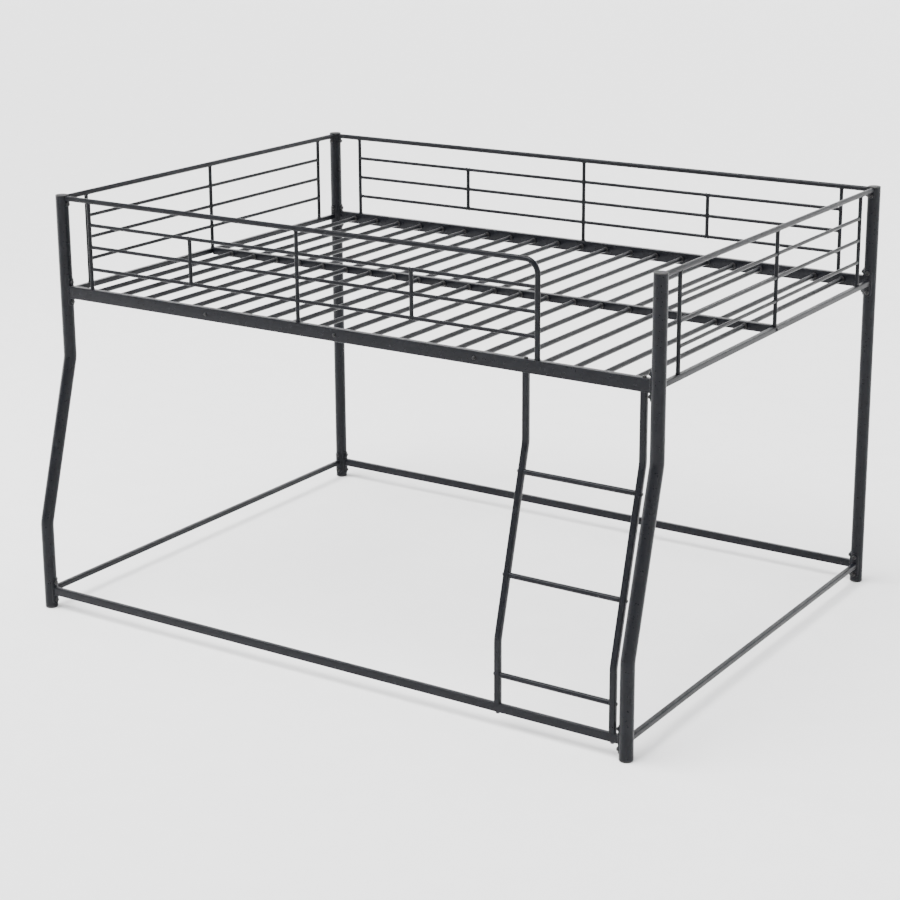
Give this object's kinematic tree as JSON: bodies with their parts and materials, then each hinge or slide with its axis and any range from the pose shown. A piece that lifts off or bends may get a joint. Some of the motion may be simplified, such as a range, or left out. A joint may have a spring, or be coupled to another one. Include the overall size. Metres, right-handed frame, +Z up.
{
  "type": "bunk bed with ladder",
  "caption": "Black steel-tube bunk bed: a railed upper deck of slats over a wider open floor frame, with bent front posts and a fixed ladder at one end of the front.",
  "frame": {"origin": "middle of the bed's outline, on the floor under the feet", "axes": "+X along the bed to the right seen from the front, +Y from the front (ladder side) to the back, +Z up"},
  "size_m": [2.11, 1.614, 1.306],
  "materials": {
    "frame_steel": "satin black powder coat",
    "dark_plastic": "matte moulded black",
    "fixing_steel": "satin black"
  },
  "bodies": {
    "root": {"post_front_left": "frame_steel", "post_front_right": "frame_steel", "post_back_left": "frame_steel", "post_back_right": "frame_steel", "side_rail_front": "frame_steel", "side_rail_back": "frame_steel", "end_rail_left": "frame_steel", "end_rail_right": "frame_steel", "deck_beam": "frame_steel", "floor_rail_front": "frame_steel", "floor_rail_back": "frame_steel", "floor_rail_left": "frame_steel", "floor_rail_right": "frame_steel", "guard_front": "frame_steel", "guard_back": "frame_steel", "guard_left": "frame_steel", "guard_right": "frame_steel", "ladder_stile_left": "frame_steel", "ladder_stile_right": "frame_steel", "ladder_rung_1": "frame_steel", "ladder_rung_2": "frame_steel", "ladder_rung_3": "frame_steel", "slat_01": "frame_steel", "slat_02": "frame_steel", "slat_03": "frame_steel", "slat_04": "frame_steel", "slat_05": "frame_steel", "slat_06": "frame_steel", "slat_07": "frame_steel", "slat_08": "frame_steel", "slat_09": "frame_steel", "slat_10": "frame_steel", "slat_11": "frame_steel", "slat_12": "frame_steel", "slat_13": "frame_steel", "slat_14": "frame_steel", "slat_15": "frame_steel", "slat_16": "frame_steel", "slat_17": "frame_steel", "slat_18": "frame_steel", "slat_19": "frame_steel", "slat_20": "frame_steel", "slat_21": "frame_steel", "post_caps": "dark_plastic", "foot_front_left": "dark_plastic", "foot_front_right": "dark_plastic", "foot_back_left": "dark_plastic", "foot_back_right": "dark_plastic", "slat_plugs": "dark_plastic", "slat_tie_bolts": "fixing_steel", "slat_tie_inserts": "fixing_steel", "beam_bolts": "fixing_steel", "upper_rail_bolts": "fixing_steel", "floor_rail_bolts": "fixing_steel", "guard_bolts": "fixing_steel", "post_nuts": "fixing_steel", "rung_bolts": "fixing_steel", "stile_top_bolts": "fixing_steel", "stile_foot_bolts": "fixing_steel"}
  },
  "joints": []
}
